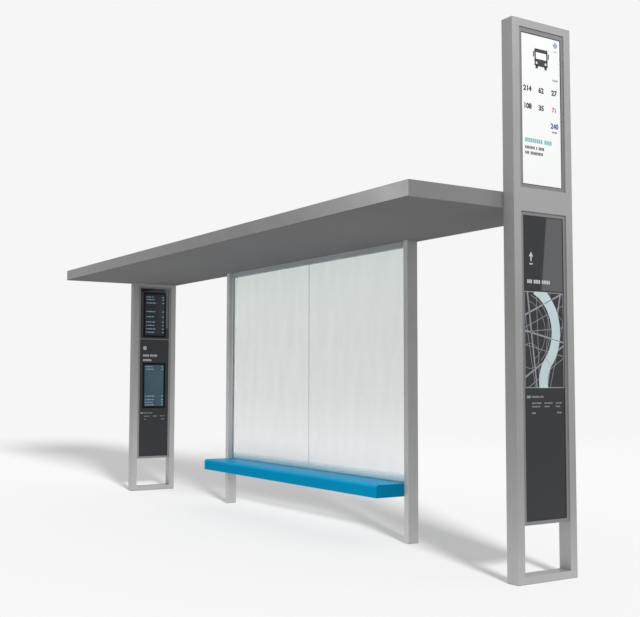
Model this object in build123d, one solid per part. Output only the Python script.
from build123d import *
import os

# Bus shelter: a thin flat canopy carried by two slim posts and by a display totem at each end,
# with a glazed back panel and a bench between the posts.
# Millimetres. +X runs along the shelter to the tall totem, +Y to the back, +Z up.
# The origin is on the ground, midway along the shelter and under the middle of the canopy's depth.

# ---- whole shelter ----
shelter_length = 6350          # outer face of one totem to outer face of the other
canopy_depth = 1300            # front edge to back edge
canopy_thickness = 105
soffit_height = 2370           # ground to the underside of the canopy
passage_width = 1530           # open way between a totem and the nearest post

# ---- totems: welded frames of rectangular tube ----
totem_width = 520              # front to back
totem_thickness = 100
tall_totem_height = 3600
totem_back_setback = 17        # canopy's back edge to the back of a totem
totem_stile_face = 60          # face width of the front and back posts
totem_wall = 4
totem_corner_radius = 3
stile_cap_thickness = 4        # closes the top of the front and back posts
base_plate_thickness = 10
bottom_rail_top = 50           # ground to the top of the bottom rail
foot_gap_height = 311          # open gap above the bottom rail
mid_rail_drop = 25             # soffit to the underside of the mid rail
mid_rail_height = 153
tall_head_rail_height = 52
short_head_rail_height = 30

# ---- display casings inside the totems ----
casing_recess = 7              # casing face behind the frame face
casing_sheet = 3
casing_lip = 23                # lip that holds the glass at the sides and bottom
sign_top_lip = 30
display_glass = 6
glass_play = 0.5               # clearance round each sheet of display glass
screen_width = 280
screen_height = 520
upper_screen_drop = 68         # top of the casing to the top of the upper screen
screen_flange = 12             # how far the module behind the glass passes the cut-out
screen_depth = 30
screen_inset = 1               # screen face behind the glass face
divider_drop = 21              # bottom of the upper screen to the middle of the divider
divider_height = 6
divider_cap_height = 10
lower_screen_drop = 277        # middle of the divider to the top of the lower screen

# ---- posts ----
post_width = 55                # along the shelter
post_depth = 98
post_wall = 4
post_corner_radius = 3
post_foot_thickness = 10
post_back_setback = 20         # back of a totem to the back of a post

# ---- canopy ----
soffit_sheet = 4
fascia_sheet = 3
fascia_flange = 40
deck_sheet = 3
deck_drop = 12                 # deck surface below the fascia's top edge
front_beam_width = 60
beam_wall = 4
rib_width = 50
rib_wall = 3
rib_count = 7

# ---- glazed back panel ----
pane_thickness = 10
channel_width = 30
header_channel_height = 46
sill_channel_height = 40
side_channel_width = 12
channel_wall = 3
channel_slot_play = 0.5        # clearance each side of a pane in a channel's slot
pane_insert = 8                # how far a pane reaches up behind the header's lip
pane_side_insert = 3           # and behind the lip of a side channel
joint_seal_width = 8

# ---- bench ----
seat_height = 460
seat_thickness = 100
seat_overhang = 265            # front face of the posts to the front of the seat
seat_sheet = 4
seat_nose_radius = 22
bench_beam_depth = 60
bench_beam_height = 60
bench_beam_wall = 5
bracket_width = 50
bracket_height = 60
bracket_wall = 4
bracket_count = 5

# ---- places worked out from the sizes ----
half_length = shelter_length / 2
canopy_front = -canopy_depth / 2
canopy_back = canopy_depth / 2
canopy_top = soffit_height + canopy_thickness

totem_back = canopy_back - totem_back_setback
totem_front = totem_back - totem_width
tall_totem_x = (half_length - totem_thickness, half_length)
short_totem_x = (-half_length, -half_length + totem_thickness)
stile_inner_y = (totem_front + totem_stile_face, totem_back - totem_stile_face)

map_casing_z = (bottom_rail_top + foot_gap_height, soffit_height - mid_rail_drop)
mid_rail_z = (map_casing_z[1], map_casing_z[1] + mid_rail_height)
tall_head_rail_z = (tall_totem_height - tall_head_rail_height, tall_totem_height)
sign_casing_z = (mid_rail_z[1], tall_head_rail_z[0])
short_head_rail_z = (soffit_height - short_head_rail_height, soffit_height)
timetable_casing_z = (map_casing_z[0], short_head_rail_z[0])
upper_screen_top = timetable_casing_z[1] - upper_screen_drop
divider_centre = upper_screen_top - screen_height - divider_drop
lower_screen_top = divider_centre - lower_screen_drop

post_back = totem_back - post_back_setback
post_front = post_back - post_depth
left_post_x = (short_totem_x[1] + passage_width, short_totem_x[1] + passage_width + post_width)
right_post_x = (tall_totem_x[0] - passage_width - post_width, tall_totem_x[0] - passage_width)
bay_x = (left_post_x[1], right_post_x[0])

canopy_x = (short_totem_x[0], tall_totem_x[0])
canopy_y = (canopy_front, canopy_back)
soffit_top = soffit_height + soffit_sheet
deck_z = (canopy_top - deck_drop - deck_sheet, canopy_top - deck_drop)
beam_z = (soffit_top, deck_z[0])
front_beam_y = (canopy_front + fascia_sheet, canopy_front + fascia_sheet + front_beam_width)

glass_line = (post_front + post_back) / 2
channel_y = (glass_line - channel_width / 2, glass_line + channel_width / 2)
pane_y = (glass_line - pane_thickness / 2, glass_line + pane_thickness / 2)
slot_y = (pane_y[0] - channel_slot_play, pane_y[1] + channel_slot_play)
header_z = (soffit_height - header_channel_height, soffit_height)
seat_z = (seat_height - seat_thickness, seat_height)
bench_beam_z = (seat_z[0], seat_z[0] + bench_beam_height)
sill_z = (bench_beam_z[1], bench_beam_z[1] + sill_channel_height)
seat_y = (post_front - seat_overhang, channel_y[0])


# ---- shapes ----
def inset(span, by):
    """A span shortened by the same amount at both ends."""
    return (span[0] + by, span[1] - by)


def middle(span):
    return (span[0] + span[1]) / 2


def block(x, y, z):
    """A solid block between three spans."""
    size = Box(x[1] - x[0], y[1] - y[0], z[1] - z[0], align=(Align.MIN, Align.MIN, Align.MIN))
    return Pos(x[0], y[0], z[0]) * size


def tube_along_x(x, y, z, wall):
    return block(x, y, z) - block(x, inset(y, wall), inset(z, wall))


def tube_along_y(x, y, z, wall):
    return block(x, y, z) - block(inset(x, wall), y, inset(z, wall))


def tube_along_z(x, y, z, wall):
    return block(x, y, z) - block(inset(x, wall), inset(y, wall), z)


def round_front(shape, radius):
    """Round the two upright edges nearest the front."""
    return fillet(shape.edges().filter_by(Axis.Z).sort_by(Axis.Y)[:2], radius)


def round_back(shape, radius):
    """Round the two upright edges nearest the back."""
    return fillet(shape.edges().filter_by(Axis.Z).sort_by(Axis.Y)[-2:], radius)


def spread(first, last, count):
    """Evenly spaced places from first to last."""
    return [first + (last - first) * i / (count - 1) for i in range(count)]


# ---- totem frames ----
def stile(x, y, top):
    """Upright tube of a totem, with its top closed."""
    cavity_z = (base_plate_thickness, top - stile_cap_thickness)
    cavity = block(inset(x, totem_wall), inset(y, totem_wall), cavity_z)
    return block(x, y, (base_plate_thickness, top)) - cavity


def totem_frame(prefix, x, top, head_z):
    """Base plate, two posts, head rail and bottom rail of one totem."""
    y = (totem_front, totem_back)
    front = stile(x, (y[0], stile_inner_y[0]), top)
    back = stile(x, (stile_inner_y[1], y[1]), top)
    plate = block(x, y, (0, base_plate_thickness))
    plate = round_back(round_front(plate, totem_corner_radius), totem_corner_radius)
    return {
        prefix + "_front_post": round_front(front, totem_corner_radius),
        prefix + "_back_post": round_back(back, totem_corner_radius),
        prefix + "_head_rail": tube_along_y(x, stile_inner_y, head_z, totem_wall),
        prefix + "_bottom_rail": tube_along_y(
            x, stile_inner_y, (base_plate_thickness, bottom_rail_top), totem_wall),
        prefix + "_base_plate": plate,
    }


# ---- display casings ----
def casing(x, z, top_lip):
    """Folded sheet box, open on both faces inside a lip all round."""
    box = block(x, stile_inner_y, z)
    cavity = block(inset(x, casing_sheet), inset(stile_inner_y, casing_sheet),
                   inset(z, casing_sheet))
    window = block(x, inset(stile_inner_y, casing_lip), (z[0] + casing_lip, z[1] - top_lip))
    return box - cavity - window


def glass_seats(x):
    """Where the two sheets of display glass lie, against the lips on the +X and -X faces."""
    plus = (x[1] - casing_sheet - display_glass, x[1] - casing_sheet)
    minus = (x[0] + casing_sheet, x[0] + casing_sheet + display_glass)
    return plus, minus


def display_pane(x, z):
    return block(x, inset(stile_inner_y, casing_sheet + glass_play), z)


def casing_inner_z(z):
    return inset(z, casing_sheet + glass_play)


def screen_pieces(glass_x, top):
    """A screen module, and the cut-out that it shows through."""
    y = (middle(stile_inner_y) - screen_width / 2, middle(stile_inner_y) + screen_width / 2)
    z = (top - screen_height, top)
    face = block((glass_x[0], glass_x[1] - screen_inset), y, z)
    body = block((glass_x[0] - screen_depth, glass_x[0]),
                 inset(y, -screen_flange), inset(z, -screen_flange))
    cut_out = block(glass_x, inset(y, -glass_play), inset(z, -glass_play))
    return face + body, cut_out


def tall_totem():
    x = inset(tall_totem_x, casing_recess)
    plus, minus = glass_seats(x)
    pieces = totem_frame("tall_totem", tall_totem_x, tall_totem_height, tall_head_rail_z)
    pieces["tall_totem_mid_rail"] = tube_along_y(
        tall_totem_x, stile_inner_y, mid_rail_z, totem_wall)
    pieces["route_sign_casing"] = casing(x, sign_casing_z, sign_top_lip)
    pieces["route_sign_outer_face"] = display_pane(plus, casing_inner_z(sign_casing_z))
    pieces["route_sign_inner_face"] = display_pane(minus, casing_inner_z(sign_casing_z))
    pieces["map_casing"] = casing(x, map_casing_z, casing_lip)
    pieces["map_outer_glass"] = display_pane(plus, casing_inner_z(map_casing_z))
    pieces["map_inner_glass"] = display_pane(minus, casing_inner_z(map_casing_z))
    return pieces


def short_totem():
    x = inset(short_totem_x, casing_recess)
    plus, minus = glass_seats(x)
    pane_z = casing_inner_z(timetable_casing_z)
    divider_z = (divider_centre - divider_height / 2, divider_centre + divider_height / 2)
    cap_z = (divider_centre - divider_cap_height / 2, divider_centre + divider_cap_height / 2)
    upper_screen, upper_cut = screen_pieces(plus, upper_screen_top)
    lower_screen, lower_cut = screen_pieces(plus, lower_screen_top)
    bar = block(plus, inset(stile_inner_y, casing_sheet), divider_z)
    cap = block((plus[1], x[1]), inset(stile_inner_y, casing_lip), cap_z)

    pieces = totem_frame("short_totem", short_totem_x, soffit_height, short_head_rail_z)
    pieces["timetable_casing"] = casing(x, timetable_casing_z, casing_lip)
    pieces["timetable_upper_glass"] = (
        display_pane(plus, (divider_z[1] + glass_play, pane_z[1])) - upper_cut)
    pieces["timetable_lower_glass"] = (
        display_pane(plus, (pane_z[0], divider_z[0] - glass_play)) - lower_cut)
    pieces["timetable_divider"] = bar + cap
    pieces["timetable_rear_glass"] = display_pane(minus, pane_z)
    pieces["upper_screen"] = upper_screen
    pieces["lower_screen"] = lower_screen
    return pieces


# ---- posts ----
def post(x):
    """Hollow post with a closing plate welded in its foot."""
    y = (post_front, post_back)
    cavity = block(inset(x, post_wall), inset(y, post_wall), (post_foot_thickness, soffit_height))
    shape = round_front(block(x, y, (0, soffit_height)), post_corner_radius)
    return round_back(shape, post_corner_radius) - cavity


def posts():
    return {"left_post": post(left_post_x), "right_post": post(right_post_x)}


# ---- canopy ----
def long_fascia(web_y, flange_y):
    """Front or back edge: an upright web with a flange along its top."""
    web = block(canopy_x, web_y, (soffit_top, canopy_top))
    return web + block(canopy_x, flange_y, (canopy_top - fascia_sheet, canopy_top))


def end_fascia(web_x, flange_x):
    """Left or right edge, fitted between the front and back ones."""
    web = block(web_x, inset(canopy_y, fascia_sheet), (soffit_top, canopy_top - fascia_sheet))
    flange = block(flange_x, inset(canopy_y, fascia_flange), (canopy_top - fascia_sheet, canopy_top))
    return web + flange


def canopy():
    inner_x = inset(canopy_x, fascia_sheet)
    inner_y = inset(canopy_y, fascia_sheet)
    rib_y = (front_beam_y[1], post_front)
    rib_places = spread(inner_x[0] + rib_width / 2, inner_x[1] - rib_width / 2, rib_count)
    ribs = [tube_along_y((at - rib_width / 2, at + rib_width / 2), rib_y, beam_z, rib_wall)
            for at in rib_places]
    return {
        "roof_soffit": block(canopy_x, canopy_y, (soffit_height, soffit_top)),
        "roof_front_fascia": long_fascia((canopy_front, canopy_front + fascia_sheet),
                                         (canopy_front, canopy_front + fascia_flange)),
        "roof_back_fascia": long_fascia((canopy_back - fascia_sheet, canopy_back),
                                        (canopy_back - fascia_flange, canopy_back)),
        "roof_left_fascia": end_fascia((canopy_x[0], canopy_x[0] + fascia_sheet),
                                       (canopy_x[0], canopy_x[0] + fascia_flange)),
        "roof_right_fascia": end_fascia((canopy_x[1] - fascia_sheet, canopy_x[1]),
                                        (canopy_x[1] - fascia_flange, canopy_x[1])),
        "roof_deck": block(inner_x, inner_y, deck_z),
        "roof_front_beam": tube_along_x(inner_x, front_beam_y, beam_z, beam_wall),
        "roof_rear_beam": tube_along_x(inner_x, (post_front, post_back), beam_z, beam_wall),
        "roof_ribs": Compound(children=ribs),
    }


# ---- glazed back panel ----
def glazing():
    side_z = (sill_z[1], header_z[0])
    left_x = (bay_x[0], bay_x[0] + side_channel_width)
    right_x = (bay_x[1] - side_channel_width, bay_x[1])
    header_slot = block(bay_x, slot_y, (header_z[0], header_z[0] + channel_wall))
    sill_slot = block(bay_x, slot_y, (sill_z[1] - channel_wall, sill_z[1]))
    left_slot = block((left_x[1] - channel_wall, left_x[1]), slot_y, side_z)
    right_slot = block((right_x[0], right_x[0] + channel_wall), slot_y, side_z)

    seal_x = (middle(bay_x) - joint_seal_width / 2, middle(bay_x) + joint_seal_width / 2)
    pane_z = (sill_z[0] + channel_wall, header_z[0] + channel_wall + pane_insert)
    left_edge = left_x[1] - channel_wall - pane_side_insert
    right_edge = right_x[0] + channel_wall + pane_side_insert
    return {
        "glass_header": tube_along_x(bay_x, channel_y, header_z, channel_wall) - header_slot,
        "glass_sill_channel": tube_along_x(bay_x, channel_y, sill_z, channel_wall) - sill_slot,
        "glass_left_channel": tube_along_z(left_x, channel_y, side_z, channel_wall) - left_slot,
        "glass_right_channel": tube_along_z(right_x, channel_y, side_z, channel_wall) - right_slot,
        "left_pane": block((left_edge, seal_x[0]), pane_y, pane_z),
        "right_pane": block((seal_x[1], right_edge), pane_y, pane_z),
        "pane_joint_seal": block(seal_x, pane_y, pane_z),
    }


# ---- bench ----
def bench():
    outer = block(bay_x, seat_y, seat_z)
    nose = outer.edges().filter_by(Axis.X).sort_by(Axis.Z)[-2:].sort_by(Axis.Y)[0]
    outer = fillet(nose, seat_nose_radius)
    inner = block(inset(bay_x, seat_sheet), inset(seat_y, seat_sheet),
                  (seat_z[0], seat_z[1] - seat_sheet))
    inner_nose = inner.edges().filter_by(Axis.X).sort_by(Axis.Z)[-2:].sort_by(Axis.Y)[0]
    inner = fillet(inner_nose, seat_nose_radius - seat_sheet)

    bracket_y = (seat_y[0] + seat_nose_radius, seat_y[1] - seat_sheet)
    bracket_z = (seat_z[1] - seat_sheet - bracket_height, seat_z[1] - seat_sheet)
    reach = inset(bay_x, seat_sheet + bracket_width / 2)
    brackets = [tube_along_y((at - bracket_width / 2, at + bracket_width / 2),
                             bracket_y, bracket_z, bracket_wall)
                for at in spread(reach[0], reach[1], bracket_count)]
    return {
        "bench_seat": outer - inner,
        "bench_brackets": Compound(children=brackets),
        "bench_beam": tube_along_x(
            bay_x, (seat_y[1], seat_y[1] + bench_beam_depth), bench_beam_z, bench_beam_wall),
    }


os.makedirs("parts", exist_ok=True)
for group in (tall_totem(), short_totem(), posts(), canopy(), glazing(), bench()):
    for node, shape in group.items():
        export_step(shape, "parts/" + node + ".step")
